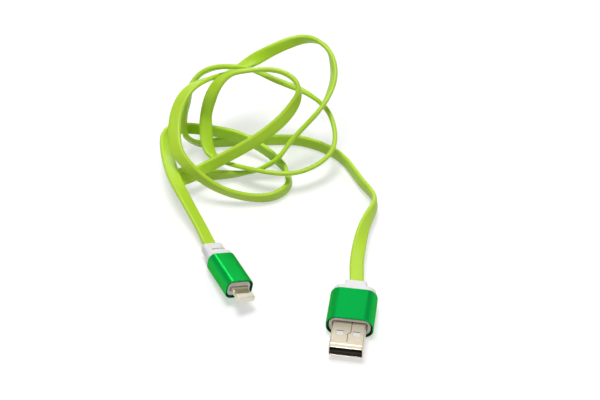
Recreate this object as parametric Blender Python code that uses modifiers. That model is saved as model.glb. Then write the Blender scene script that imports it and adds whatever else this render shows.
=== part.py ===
"""A flat charging cable lying in a tangle, with a charger plug and a phone plug.

Metres, +Z up. The table is z = 0. The origin is on the table, under the middle of the charger
plug's sleeve, and that plug's nose points along -Y.
"""

import math

import bmesh
import bpy
import numpy as np
from mathutils import Euler, Matrix, Vector

MM = 0.001

# Fits between neighbouring pieces
FIT_GAP = 0.3 * MM
FINE_GAP = 0.1 * MM

# Flat cable
CABLE_WIDTH = 5.2 * MM
CABLE_THICKNESS = 1.8 * MM
JACKET_WALL = 0.35 * MM  # over and under the cores
JACKET_SIDE = 0.75 * MM  # beside them
CORE_RADIUS = 0.25 * MM
CORE_PITCH = 0.8 * MM
CORE_STRIP = 1.2 * MM  # bare end of a core beyond the jacket
CABLE_HOLD = 4.0 * MM  # length of cable inside a plug's mould
SLOT_ROUNDING = 0.42  # corner radius of the cable's passages, of their height
RING_ANGLE = math.radians(23.0)  # turn or twist between two rings of the jacket
RING_STEP = 15.0 * MM  # longest step between two rings
MEASURE_STEP = 1.0 * MM  # between the points on which the gaps are measured

# Charger plug, lying flat
CHARGER_SLEEVE_WIDTH = 17.0 * MM
CHARGER_SLEEVE_HEIGHT = 9.8 * MM
CHARGER_SLEEVE_LENGTH = 14.4 * MM
CHARGER_SLEEVE_CORNER = 4.1 * MM
CHARGER_SLEEVE_WALL = 0.8 * MM
CHARGER_MOULD_SETBACK = 0.55 * MM
SHELL_WIDTH = 12.0 * MM
SHELL_HEIGHT = 4.5 * MM
SHELL_WALL = 0.3 * MM
SHELL_CORNER = 0.65 * MM
SHELL_REACH = 11.3 * MM  # beyond the sleeve's front
SHELL_ROOT = 5.5 * MM  # inside the sleeve
WINDOW_WIDTH = 2.5 * MM
WINDOW_LENGTH = 1.95 * MM
WINDOW_PITCH = 5.8 * MM
WINDOW_SETBACK = 5.8 * MM  # from the shell's mouth to a window's near edge
TONGUE_THICKNESS = 1.84 * MM
TONGUE_SETBACK = 0.6 * MM
TONGUE_CHAMFER = 0.3 * MM
INSULATOR_SETBACK = 5.5 * MM
CHARGER_CONTACT_WIDTH = 1.0 * MM
CHARGER_CONTACT_THICKNESS = 0.2 * MM
CHARGER_CONTACT_LENGTH = 8.6 * MM
CHARGER_CONTACT_SETBACK = 1.6 * MM
CHARGER_CONTACT_PLACES = (-3.5 * MM, -1.0 * MM, 1.0 * MM, 3.5 * MM)
COLLAR_FLANGE_WIDTH = 15.4 * MM
COLLAR_FLANGE_HEIGHT = 8.4 * MM
COLLAR_FLANGE_LENGTH = 2.0 * MM
COLLAR_NECK_WIDTH = 8.1 * MM
COLLAR_NECK_HEIGHT = 5.0 * MM
COLLAR_NECK_LENGTH = 3.8 * MM

# Phone plug
PHONE_PLACE = (-46.0 * MM, 10.75 * MM, 5.6 * MM)  # middle of the sleeve
PHONE_YAW = math.radians(33.4)
PHONE_NOSE_UP = math.radians(7.2)
PHONE_LEAN = math.radians(16.9)
PHONE_SLEEVE_WIDTH = 10.7 * MM
PHONE_SLEEVE_HEIGHT = 7.55 * MM
PHONE_SLEEVE_LENGTH = 17.7 * MM
PHONE_SLEEVE_CORNER = 2.8 * MM
PHONE_SLEEVE_WALL = 0.7 * MM
PHONE_MOULD_SETBACK = 0.5 * MM
TIP_WIDTH = 6.7 * MM
TIP_HEIGHT = 1.5 * MM
TIP_CORNER = 0.6 * MM
TIP_REACH = 6.4 * MM  # beyond the sleeve's front
TIP_ROOT = 4.5 * MM  # inside the sleeve
TIP_BLOCK_WIDTH = 6.9 * MM
TIP_BLOCK_HEIGHT = 2.2 * MM
TIP_BLOCK_LENGTH = 2.6 * MM
TIP_WINDOW_WIDTH = 5.2 * MM
TIP_WINDOW_LENGTH = 2.7 * MM
TIP_WINDOW_SETBACK = 3.0 * MM
TIP_NOTCH_RADIUS = 0.55 * MM
TIP_NOTCH_SETBACK = 4.3 * MM
TIP_INSULATOR_HEIGHT = 1.0 * MM
PHONE_CONTACT_COUNT = 8
PHONE_CONTACT_PITCH = 0.6 * MM
PHONE_CONTACT_WIDTH = 0.4 * MM
PHONE_CONTACT_THICKNESS = 0.12 * MM
PHONE_CONTACT_LENGTH = 2.1 * MM
PHONE_CONTACT_GAP = 0.05 * MM
BOARD_CAVITY_WIDTH = 7.2 * MM
BOARD_CAVITY_HEIGHT = 3.6 * MM
BOARD_THICKNESS = 0.6 * MM
BOARD_LENGTH = 7.4 * MM
CHIP_WIDTH = 2.6 * MM
CHIP_LENGTH = 2.2 * MM
CHIP_HEIGHT = 0.6 * MM
SHIELD_WIDTH = 5.2 * MM
SHIELD_LENGTH = 5.4 * MM
SHIELD_HEIGHT = 1.3 * MM
SHIELD_WALL = 0.15 * MM
RELIEF_FLANGE_WIDTH = 9.9 * MM
RELIEF_FLANGE_HEIGHT = 6.8 * MM
RELIEF_FLANGE_LENGTH = 2.0 * MM
RELIEF_NECK_WIDTH = 7.9 * MM
RELIEF_NECK_HEIGHT = 4.1 * MM
RELIEF_NECK_LENGTH = 6.7 * MM
RELIEF_NECK_CORNER = 1.2 * MM
GROOVE_WIDTH = 0.7 * MM
GROOVE_DEPTH = 0.7 * MM
GROOVE_REACH = 5.0 * MM  # across the neck, from its side
GROOVE_SETBACK = 3.6 * MM  # from the neck's rear end

# Crimp that grips the cable's end in each plug
CRIMP_WALL = 0.3 * MM
CRIMP_LENGTH = 2.4 * MM

EDGE = 0.25 * MM  # small round edges of sleeves and collars

# The free cable from the charger plug's collar to the phone plug's relief, in millimetres. Each
# entry is a point of the centreline and the direction of the cable's width there.
ROUTE = (
    ((-0.7, 20.5, 4.9), (1.0, 0.0, 0.0)),
    ((-1.1, 25.6, 5.0), (1.0, 0.0, 0.0)),
    ((0.0, 43.7, 6.0), (0.6, -0.1, -0.8)),
    ((2.1, 56.8, 5.5), (0.1, 0.2, -1.0)),
    ((-4.5, 68.1, 4.0), (-0.1, 0.1, -1.0)),
    ((-14.9, 82.5, 3.0), (0.0, 0.0, -1.0)),
    ((-29.5, 89.0, 3.0), (0.0, 0.0, -1.0)),
    ((-39.5, 88.8, 3.0), (0.0, 0.0, -1.0)),
    ((-64.4, 83.6, 3.0), (0.0, 0.1, -1.0)),
    ((-70.4, 81.5, 3.5), (-0.5, 0.3, -0.8)),
    ((-74.5, 79.2, 7.0), (-0.8, 0.5, -0.2)),
    ((-76.0, 77.6, 13.0), (-0.1, 0.8, -0.5)),
    ((-76.3, 79.6, 18.0), (0.0, 0.9, -0.3)),
    ((-75.7, 82.5, 22.5), (0.1, 0.9, -0.3)),
    ((-75.2, 87.5, 26.5), (0.1, 0.9, -0.4)),
    ((-72.1, 91.7, 30.5), (-0.1, 0.7, -0.7)),
    ((-65.6, 93.0, 34.0), (-0.1, 0.7, -0.7)),
    ((-58.0, 93.0, 35.2), (-0.1, 0.7, -0.7)),
    ((-50.5, 94.9, 32.6), (-0.1, 0.8, -0.6)),
    ((-42.5, 94.4, 29.5), (-0.1, 0.9, -0.5)),
    ((-33.5, 95.0, 25.5), (-0.1, 0.9, -0.5)),
    ((-27.8, 94.2, 23.0), (-0.1, 0.8, -0.6)),
    ((-22.3, 92.4, 19.5), (-0.1, 0.7, -0.7)),
    ((-18.7, 87.9, 17.0), (-0.1, 0.7, -0.7)),
    ((-16.7, 82.0, 14.0), (-0.1, 0.7, -0.7)),
    ((-17.4, 74.4, 12.0), (-0.1, 0.7, -0.7)),
    ((-23.2, 67.5, 10.0), (-0.1, 0.7, -0.7)),
    ((-32.0, 62.9, 9.5), (-0.1, 0.7, -0.7)),
    ((-44.0, 63.0, 9.3), (-0.1, 0.7, -0.7)),
    ((-57.0, 68.3, 6.4), (0.0, 0.7, -0.7)),
    ((-65.3, 73.7, 6.5), (0.7, 0.5, -0.5)),
    ((-68.0, 80.0, 14.0), (1.0, 0.0, 0.0)),
    ((-68.1, 82.6, 18.5), (0.9, -0.4, 0.0)),
    ((-66.3, 83.5, 26.0), (0.85, -0.45, -0.2)),
    ((-63.4, 85.3, 32.2), (0.5, -0.8, -0.1)),
    ((-58.8, 87.7, 35.8), (0.2, -0.9, 0.4)),
    ((-52.6, 88.8, 37.2), (0.1, -0.8, 0.6)),
    ((-40.5, 90.2, 37.5), (0.1, -0.7, 0.7)),
    ((-31.9, 85.8, 34.5), (0.1, -0.7, 0.7)),
    ((-33.7, 80.2, 27.5), (-0.6, -0.3, 0.8)),
    ((-45.5, 71.0, 18.5), (-0.5, 0.0, 0.9)),
    ((-65.0, 61.0, 9.5), (-0.5, 0.2, 0.9)),
    ((-71.5, 56.3, 8.0), (-0.2, 0.6, 0.8)),
    ((-75.4, 56.8, 6.6), (-0.1, 0.6, 0.8)),
    ((-76.8, 59.6, 4.9), (-0.1, 0.6, 0.8)),
    ((-75.1, 62.8, 3.4), (-0.1, 0.5, 0.8)),
    ((-71.4, 64.0, 2.9), (-0.1, 0.4, 0.9)),
    ((-65.0, 64.6, 2.8), (0.0, 0.1, 1.0)),
    ((-55.0, 66.0, 3.0), (0.0, -0.45, 0.85)),
    ((-48.1, 68.6, 3.0), (0.1, -0.75, 0.65)),
    ((-42.0, 69.6, 6.0), (0.1, -0.7, 0.7)),
    ((-37.0, 71.0, 10.5), (0.1, -0.7, 0.7)),
    ((-33.1, 75.5, 15.0), (0.1, -0.7, 0.7)),
    ((-23.8, 83.8, 24.0), (0.1, -0.7, 0.7)),
    ((-20.5, 90.4, 27.6), (0.3, -0.7, 0.7)),
    ((-19.4, 97.0, 31.0), (0.4, -0.6, 0.7)),
    ((-20.8, 103.3, 34.5), (0.2, -0.4, 0.9)),
    ((-24.9, 109.3, 37.0), (-0.2, -0.7, 0.7)),
    ((-31.5, 110.3, 38.5), (0.1, -0.4, 0.9)),
    ((-38.5, 107.6, 38.0), (0.0, 0.1, 1.0)),
    ((-45.7, 104.4, 35.5), (-0.4, 0.1, 0.9)),
    ((-58.6, 99.4, 28.8), (-0.3, 0.9, -0.3)),
    ((-63.9, 93.6, 29.6), (-0.4, 0.6, -0.7)),
    ((-73.1, 81.2, 32.5), (-0.8, 0.5, -0.4)),
    ((-77.2, 70.5, 27.0), (-1.0, 0.2, -0.2)),
    ((-75.1, 59.4, 20.5), (-0.9, -0.1, -0.5)),
    ((-70.6, 55.2, 16.5), (-0.6, 0.0, -0.8)),
    ((-58.1, 52.4, 8.0), (-0.4, 0.3, -0.9)),
    ((-41.5, 54.6, 3.0), (0.0, 0.3, -1.0)),
    ((-35.4, 57.8, 3.0), (0.0, 0.2, -1.0)),
    ((-32.7, 62.2, 3.0), (0.0, 0.0, -1.0)),
    ((-32.9, 66.9, 3.0), (0.3, 0.2, -0.9)),
    ((-35.4, 71.7, 4.0), (0.0, 0.2, -1.0)),
    ((-50.5, 81.2, 7.5), (0.0, 0.0, -1.0)),
    ((-66.0, 83.0, 9.5), (0.0, -0.1, -1.0)),
    ((-81.1, 81.8, 9.5), (0.1, -0.1, -1.0)),
    ((-83.5, 76.3, 10.0), (0.6, -0.1, -0.8)),
    ((-82.0, 69.0, 10.5), (0.8, 0.1, -0.5)),
    ((-78.7, 60.4, 11.0), (1.0, 0.1, -0.1)),
    ((-74.0, 50.9, 10.5), (0.8, 0.6, -0.2)),
    ((-61.1, 33.4, 5.0), (0.7, 0.6, -0.4)),
)

CHARGER_MIDDLE = CHARGER_SLEEVE_HEIGHT / 2  # height of the charger plug's axis above the table
CHARGER_FRONT = -CHARGER_SLEEVE_LENGTH / 2
CHARGER_REAR = CHARGER_SLEEVE_LENGTH / 2
COLLAR_REAR = CHARGER_REAR + FIT_GAP + COLLAR_FLANGE_LENGTH + COLLAR_NECK_LENGTH
PHONE_FRONT = -PHONE_SLEEVE_LENGTH / 2
PHONE_REAR = PHONE_SLEEVE_LENGTH / 2
RELIEF_REAR = PHONE_REAR + FIT_GAP + RELIEF_FLANGE_LENGTH + RELIEF_NECK_LENGTH
PHONE_TURN = Euler((-PHONE_NOSE_UP, PHONE_LEAN, PHONE_YAW), "YXZ").to_matrix()
CORE_NAMES = ("core_power", "core_data_minus", "core_data_plus", "core_ground")


# Scene and materials


def linear(hex_colour):
    """Linear RGBA of an sRGB colour written as a hex number."""
    channels = [(hex_colour >> shift & 255) / 255 for shift in (16, 8, 0)]
    return [c / 12.92 if c <= 0.04045 else ((c + 0.055) / 1.055) ** 2.4 for c in channels] + [1.0]


def material(name, hex_colour, roughness, metallic=0.0):
    made = bpy.data.materials.new(name)
    made.use_nodes = True
    shader = made.node_tree.nodes["Principled BSDF"]
    shader.inputs["Base Color"].default_value = linear(hex_colour)
    shader.inputs["Roughness"].default_value = roughness
    shader.inputs["Metallic"].default_value = metallic
    made.diffuse_color = linear(hex_colour)
    return made


def collection(name):
    made = bpy.data.collections.new(name)
    bpy.context.scene.collection.children.link(made)
    return made


def clear_scene():
    for old in list(bpy.data.objects):
        bpy.data.objects.remove(old, do_unlink=True)


# Shapes


def bar(width, height, corner, front, rear, centre=(0.0, 0.0), segments=4):
    """Block along Y from front to rear, its long edges rounded, its axis at centre (x, z)."""
    bm = bmesh.new()
    bmesh.ops.create_cube(bm, size=1.0)
    bmesh.ops.scale(bm, vec=(width, rear - front, height), verts=bm.verts)
    if corner:
        long_edges = [e for e in bm.edges if e.verts[0].co.y * e.verts[1].co.y < 0]
        bmesh.ops.bevel(
            bm, geom=long_edges, offset=corner, segments=segments, profile=0.5, affect="EDGES"
        )
    bmesh.ops.translate(bm, vec=(centre[0], (front + rear) / 2, centre[1]), verts=bm.verts)
    return bm


def open_ends(bm):
    """Take a bar's two end faces away, which leaves its skin."""
    bm.normal_update()
    ends = [face for face in bm.faces if abs(face.normal.y) > 0.9]
    bmesh.ops.delete(bm, geom=ends, context="FACES")
    return bm


def add(name, bm, home, look, parent=None):
    mesh = bpy.data.meshes.new(name)
    bm.to_mesh(mesh)
    bm.free()
    mesh.shade_smooth()
    mesh.set_sharp_from_angle(angle=math.radians(35))
    made = bpy.data.objects.new(name, mesh)
    made.data.materials.append(look)
    made.parent = parent
    home.objects.link(made)
    return made


def thicken(piece, wall):
    shell = piece.modifiers.new("wall", "SOLIDIFY")
    shell.thickness = wall
    shell.offset = -1.0
    shell.use_even_offset = True


def soften(piece, width, segments=2):
    bevel = piece.modifiers.new("soft edges", "BEVEL")
    bevel.width = width
    bevel.segments = segments
    bevel.limit_method = "ANGLE"
    bevel.angle_limit = math.radians(50)


def combine(piece, bm, operation, cutters):
    """Cut the shape out of the piece, or join it to the piece."""
    tool_name = f"{piece.name}_{operation.lower()}_{len(piece.modifiers)}"
    mesh = bpy.data.meshes.new(tool_name)
    bm.to_mesh(mesh)
    bm.free()
    tool = bpy.data.objects.new(tool_name, mesh)
    tool.parent = piece.parent
    tool.hide_render = True
    tool.display_type = "WIRE"
    cutters.objects.link(tool)
    boolean = piece.modifiers.new(tool_name, "BOOLEAN")
    boolean.operation = operation
    boolean.solver = "EXACT"
    boolean.object = tool


def cable_slot(front, rear, centre=(0.0, 0.0), gap=FIT_GAP):
    """Solid of the cable's passage with its clearance."""
    height = CABLE_THICKNESS + 2 * gap
    return bar(CABLE_WIDTH + 2 * gap, height, height * SLOT_ROUNDING, front, rear, centre, 3)


# Charger plug


def charger_shell(home, cutters):
    """Drawn steel shell, open in front and behind, with two windows in its top and its base."""
    mouth = CHARGER_FRONT - SHELL_REACH
    centre = (0.0, CHARGER_MIDDLE)
    skin = open_ends(
        bar(SHELL_WIDTH, SHELL_HEIGHT, SHELL_CORNER, mouth, CHARGER_FRONT + SHELL_ROOT, centre, 3)
    )
    shell = add("charger_shell", skin, home, material("plated steel", 0xD2CBB9, 0.28, 1.0))
    thicken(shell, SHELL_WALL)
    near = mouth + WINDOW_SETBACK
    for side in (-1, 1):
        place = (side * WINDOW_PITCH / 2, CHARGER_MIDDLE)
        window = bar(WINDOW_WIDTH, 2 * SHELL_HEIGHT, 0.0, near, near + WINDOW_LENGTH, place)
        combine(shell, window, "DIFFERENCE", cutters)


def tongue_top():
    """Height of the tongue's upper face above the table."""
    floor = CHARGER_MIDDLE - SHELL_HEIGHT / 2 + SHELL_WALL
    return floor + FINE_GAP + TONGUE_THICKNESS


def charger_tongue(home):
    width = SHELL_WIDTH - 2 * SHELL_WALL - 2 * FINE_GAP
    front = CHARGER_FRONT - SHELL_REACH + TONGUE_SETBACK
    rear = CHARGER_FRONT + SHELL_ROOT - FINE_GAP
    place = (0.0, tongue_top() - TONGUE_THICKNESS / 2)
    block = bar(width, TONGUE_THICKNESS, 0.0, front, rear, place)
    tongue = add("charger_tongue", block, home, material("dark tongue", 0x2A241E, 0.45))
    soften(tongue, TONGUE_CHAMFER, 1)


def charger_contacts(home):
    front = CHARGER_FRONT - SHELL_REACH + CHARGER_CONTACT_SETBACK
    height = tongue_top() + FINE_GAP + CHARGER_CONTACT_THICKNESS / 2
    for number, across in enumerate(CHARGER_CONTACT_PLACES, 1):
        strip = bar(
            CHARGER_CONTACT_WIDTH,
            CHARGER_CONTACT_THICKNESS,
            0.0,
            front,
            front + CHARGER_CONTACT_LENGTH,
            (across, height),
        )
        look = material(f"contact gold {number}", 0xD8B45C, 0.25, 1.0)
        add(f"charger_contact_{number}", strip, home, look)


def charger_insulator(home):
    """White block over the rear of the contacts, just under the shell's windows."""
    roof = CHARGER_MIDDLE + SHELL_HEIGHT / 2 - SHELL_WALL - FINE_GAP
    floor = tongue_top() + CHARGER_CONTACT_THICKNESS + 2 * FINE_GAP
    width = SHELL_WIDTH - 2 * SHELL_WALL - 2 * FINE_GAP
    front = CHARGER_FRONT - SHELL_REACH + INSULATOR_SETBACK
    rear = CHARGER_FRONT + SHELL_ROOT - FINE_GAP
    block = bar(width, roof - floor, SHELL_CORNER / 2, front, rear, (0.0, (roof + floor) / 2), 1)
    add("charger_insulator", block, home, material("white insulator", 0xECEAE6, 0.45))


def charger_inner_mould(home, cutters):
    """Carrier inside the sleeve: the shell in its front, the crimped cable in its rear."""
    inset = CHARGER_SLEEVE_WALL + FIT_GAP
    centre = (0.0, CHARGER_MIDDLE)
    front = CHARGER_FRONT + CHARGER_MOULD_SETBACK
    block = bar(
        CHARGER_SLEEVE_WIDTH - 2 * inset,
        CHARGER_SLEEVE_HEIGHT - 2 * inset,
        CHARGER_SLEEVE_CORNER - inset,
        front,
        CHARGER_REAR,
        centre,
    )
    mould = add("charger_inner_mould", block, home, material("white carrier wide", 0xD8D3CE, 0.5))
    shell_end = CHARGER_FRONT + SHELL_ROOT + FIT_GAP
    seat = bar(
        SHELL_WIDTH + 2 * FIT_GAP,
        SHELL_HEIGHT + 2 * FIT_GAP,
        SHELL_CORNER + FIT_GAP,
        CHARGER_FRONT - FIT_GAP,
        shell_end,
        centre,
        3,
    )
    combine(mould, seat, "DIFFERENCE", cutters)
    pocket_gap = CRIMP_WALL + 2 * FIT_GAP
    pocket = cable_slot(shell_end - FIT_GAP, CHARGER_REAR + FIT_GAP, centre, pocket_gap)
    combine(mould, pocket, "DIFFERENCE", cutters)


def charger_sleeve(home):
    centre = (0.0, CHARGER_MIDDLE)
    skin = open_ends(
        bar(
            CHARGER_SLEEVE_WIDTH,
            CHARGER_SLEEVE_HEIGHT,
            CHARGER_SLEEVE_CORNER,
            CHARGER_FRONT,
            CHARGER_REAR,
            centre,
            6,
        )
    )
    sleeve = add("charger_sleeve", skin, home, material("green sleeve wide", 0x00A63C, 0.3, 0.4))
    thicken(sleeve, CHARGER_SLEEVE_WALL)
    soften(sleeve, EDGE)


def charger_collar(home, cutters):
    """Flange behind the sleeve and a narrower neck round the cable."""
    centre = (0.0, CHARGER_MIDDLE)
    front = CHARGER_REAR + FIT_GAP
    step = front + COLLAR_FLANGE_LENGTH
    flange_corner = CHARGER_SLEEVE_CORNER - (CHARGER_SLEEVE_HEIGHT - COLLAR_FLANGE_HEIGHT) / 2
    flange = bar(
        COLLAR_FLANGE_WIDTH, COLLAR_FLANGE_HEIGHT, flange_corner, front, step, centre, 5
    )
    collar = add("charger_collar", flange, home, material("white collar", 0xF0EEF2, 0.5))
    neck = bar(
        COLLAR_NECK_WIDTH, COLLAR_NECK_HEIGHT, 3 * EDGE, step - EDGE, COLLAR_REAR, centre, 2
    )
    combine(collar, neck, "UNION", cutters)
    slot = cable_slot(front - FIT_GAP, COLLAR_REAR + FIT_GAP, centre)
    combine(collar, slot, "DIFFERENCE", cutters)


def crimp(name, front, centre, home, parent=None):
    """Band of sheet metal round the cable, FIT_GAP clear of it."""
    gap = FIT_GAP + CRIMP_WALL
    band = open_ends(cable_slot(front, front + CRIMP_LENGTH, centre, gap))
    piece = add(name, band, home, material(f"{name} tin", 0xB8B6B0, 0.4, 1.0), parent)
    thicken(piece, CRIMP_WALL)


# Phone plug, made along Y round its sleeve's middle and turned into place by its parent


def phone_tip_frame(home, cutters, parent):
    """Thick front block on a flat frame, with a window for the contacts and two side notches."""
    nose = PHONE_FRONT - TIP_REACH
    block_rear = nose + TIP_BLOCK_LENGTH
    block = bar(TIP_BLOCK_WIDTH, TIP_BLOCK_HEIGHT, TIP_CORNER, nose, block_rear)
    frame = add("phone_tip_frame", block, home, material("tip metal", 0xC9C6C0, 0.25, 1.0), parent)
    soften(frame, EDGE)
    rear = PHONE_FRONT + TIP_ROOT
    plate = bar(TIP_WIDTH, TIP_HEIGHT, TIP_CORNER, block_rear - EDGE, rear)
    combine(frame, plate, "UNION", cutters)
    near = nose + TIP_WINDOW_SETBACK
    window = bar(TIP_WINDOW_WIDTH, 2 * TIP_HEIGHT, 0.0, near, near + TIP_WINDOW_LENGTH)
    combine(frame, window, "DIFFERENCE", cutters)
    for side in (-1, 1):
        notch = bmesh.new()
        bmesh.ops.create_cone(
            notch,
            cap_ends=True,
            segments=16,
            radius1=TIP_NOTCH_RADIUS,
            radius2=TIP_NOTCH_RADIUS,
            depth=2 * TIP_HEIGHT,
        )
        across = side * (TIP_WIDTH / 2 + TIP_NOTCH_RADIUS / 2)
        bmesh.ops.translate(notch, vec=(across, nose + TIP_NOTCH_SETBACK, 0.0), verts=notch.verts)
        combine(frame, notch, "DIFFERENCE", cutters)


def phone_tip_contacts(home, parent):
    """Dark block in the tip's window, with a row of strips on its top and on its base."""
    near = PHONE_FRONT - TIP_REACH + TIP_WINDOW_SETBACK
    middle = near + TIP_WINDOW_LENGTH / 2
    block = bar(
        TIP_WINDOW_WIDTH - 2 * FINE_GAP,
        TIP_INSULATOR_HEIGHT,
        0.0,
        near + FINE_GAP,
        near + TIP_WINDOW_LENGTH - FINE_GAP,
    )
    add("phone_tip_insulator", block, home, material("tip insulator", 0x3A2F26, 0.5), parent)
    height = TIP_INSULATOR_HEIGHT / 2 + PHONE_CONTACT_GAP + PHONE_CONTACT_THICKNESS / 2
    for row, side in (("top", 1), ("base", -1)):
        for number in range(PHONE_CONTACT_COUNT):
            across = (number - (PHONE_CONTACT_COUNT - 1) / 2) * PHONE_CONTACT_PITCH
            strip = bar(
                PHONE_CONTACT_WIDTH,
                PHONE_CONTACT_THICKNESS,
                0.0,
                middle - PHONE_CONTACT_LENGTH / 2,
                middle + PHONE_CONTACT_LENGTH / 2,
                (across, side * height),
            )
            name = f"phone_contact_{row}_{number + 1}"
            add(name, strip, home, material(f"{name} gold", 0xC9A35A, 0.3, 1.0), parent)


def phone_inner_mould(home, cutters, parent):
    """Carrier inside the sleeve: a slot for the tip in front, a cavity open to the rear."""
    inset = PHONE_SLEEVE_WALL + FIT_GAP
    front = PHONE_FRONT + PHONE_MOULD_SETBACK
    block = bar(
        PHONE_SLEEVE_WIDTH - 2 * inset,
        PHONE_SLEEVE_HEIGHT - 2 * inset,
        PHONE_SLEEVE_CORNER - inset,
        front,
        PHONE_REAR,
    )
    look = material("white carrier narrow", 0xD8D3CE, 0.5)
    mould = add("phone_inner_mould", block, home, look, parent)
    cavity_front = PHONE_FRONT + TIP_ROOT
    cavity = bar(
        BOARD_CAVITY_WIDTH, BOARD_CAVITY_HEIGHT, 0.0, cavity_front, PHONE_REAR + FIT_GAP
    )
    combine(mould, cavity, "DIFFERENCE", cutters)
    slot = bar(
        TIP_WIDTH + 2 * FIT_GAP,
        TIP_HEIGHT + 2 * FIT_GAP,
        TIP_CORNER,
        PHONE_FRONT - FIT_GAP,
        cavity_front + FIT_GAP,
    )
    combine(mould, slot, "DIFFERENCE", cutters)


def phone_board(home, parent):
    """Board on the cavity's floor behind the tip, with a chip under a metal can."""
    front = PHONE_FRONT + TIP_ROOT + FIT_GAP
    width = BOARD_CAVITY_WIDTH - 2 * FIT_GAP
    floor = -BOARD_CAVITY_HEIGHT / 2 + FIT_GAP
    top = floor + BOARD_THICKNESS
    board = bar(
        width, BOARD_THICKNESS, 0.0, front, front + BOARD_LENGTH, (0.0, floor + BOARD_THICKNESS / 2)
    )
    add("phone_board", board, home, material("board green", 0x1F5B33, 0.5), parent)
    middle = front + BOARD_LENGTH / 2
    chip = bar(
        CHIP_WIDTH,
        CHIP_HEIGHT,
        0.0,
        middle - CHIP_LENGTH / 2,
        middle + CHIP_LENGTH / 2,
        (0.0, top + FINE_GAP + CHIP_HEIGHT / 2),
    )
    add("phone_chip", chip, home, material("chip black", 0x1B1B1D, 0.4), parent)
    can = bar(
        SHIELD_WIDTH,
        SHIELD_HEIGHT,
        0.0,
        middle - SHIELD_LENGTH / 2,
        middle + SHIELD_LENGTH / 2,
        (0.0, top + FINE_GAP + SHIELD_HEIGHT / 2),
    )
    can.normal_update()
    underside = [face for face in can.faces if face.normal.z < -0.9]
    bmesh.ops.delete(can, geom=underside, context="FACES")
    shield = add("phone_shield", can, home, material("shield tin", 0xBFC1C2, 0.35, 1.0), parent)
    thicken(shield, SHIELD_WALL)


def phone_sleeve(home, parent):
    skin = open_ends(
        bar(
            PHONE_SLEEVE_WIDTH,
            PHONE_SLEEVE_HEIGHT,
            PHONE_SLEEVE_CORNER,
            PHONE_FRONT,
            PHONE_REAR,
            segments=6,
        )
    )
    look = material("green sleeve narrow", 0x00A63C, 0.28, 0.4)
    sleeve = add("phone_sleeve", skin, home, look, parent)
    thicken(sleeve, PHONE_SLEEVE_WALL)
    soften(sleeve, EDGE)


def phone_relief(home, cutters, parent):
    """Flange behind the sleeve and a neck round the cable, grooved above and below so it bends."""
    front = PHONE_REAR + FIT_GAP
    step = front + RELIEF_FLANGE_LENGTH
    flange_corner = PHONE_SLEEVE_CORNER - (PHONE_SLEEVE_HEIGHT - RELIEF_FLANGE_HEIGHT) / 2
    flange = bar(RELIEF_FLANGE_WIDTH, RELIEF_FLANGE_HEIGHT, flange_corner, front, step, segments=5)
    relief = add("phone_relief", flange, home, material("white relief", 0xF0EEF2, 0.5), parent)
    neck = bar(
        RELIEF_NECK_WIDTH, RELIEF_NECK_HEIGHT, RELIEF_NECK_CORNER, step - EDGE, RELIEF_REAR
    )
    combine(relief, neck, "UNION", cutters)
    combine(relief, cable_slot(front - FIT_GAP, RELIEF_REAR + FIT_GAP), "DIFFERENCE", cutters)
    groove_rear = RELIEF_REAR - GROOVE_SETBACK
    for side in (-1, 1):
        groove = bar(
            2 * GROOVE_REACH,
            2 * GROOVE_DEPTH,
            0.0,
            groove_rear - GROOVE_WIDTH,
            groove_rear,
            (side * RELIEF_NECK_WIDTH / 2, side * RELIEF_NECK_HEIGHT / 2),
        )
        combine(relief, groove, "DIFFERENCE", cutters)


# Cable


def unit(rows):
    return rows / np.linalg.norm(rows, axis=-1, keepdims=True)


def cubic_through(knots, rows, first_slope, last_slope):
    """Smooth curve through rows at the knots, with given slopes at its ends."""
    count = len(knots)
    span = np.diff(knots)
    rise = np.diff(rows, axis=0) / span[:, None]
    matrix = np.zeros((count, count))
    right = np.zeros_like(rows)
    matrix[0, 0] = 1.0
    matrix[-1, -1] = 1.0
    right[0] = first_slope
    right[-1] = last_slope
    for i in range(1, count - 1):
        matrix[i, i - 1] = 1 / span[i - 1]
        matrix[i, i] = 2 / span[i - 1] + 2 / span[i]
        matrix[i, i + 1] = 1 / span[i]
        right[i] = 3 * (rise[i - 1] / span[i - 1] + rise[i] / span[i])
    slopes = np.linalg.solve(matrix, right)

    def value(where):
        piece = np.clip(np.searchsorted(knots, where, side="right") - 1, 0, count - 2)
        width = span[piece][:, None]
        t = ((where - knots[piece]) / span[piece])[:, None]
        start, end = rows[piece], rows[piece + 1]
        bulge = (1 - t) * (slopes[piece] * width - (end - start))
        bulge -= t * (slopes[piece + 1] * width - (end - start))
        return start + t * (end - start) + t * (1 - t) * bulge

    return value


def plug_ends():
    """Where the cable leaves each plug, the way it points there and its width's direction."""
    charger = (Vector((0.0, COLLAR_REAR, CHARGER_MIDDLE)), Vector((0.0, 1.0, 0.0)))
    phone = PHONE_TURN @ Vector((0.0, RELIEF_REAR, 0.0)) + Vector(PHONE_PLACE)
    into_phone = PHONE_TURN @ Vector((0.0, -1.0, 0.0))
    width = PHONE_TURN @ Vector((1.0, 0.0, 0.0))
    return charger + (Vector((1.0, 0.0, 0.0)),), (phone, into_phone, width)


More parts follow.
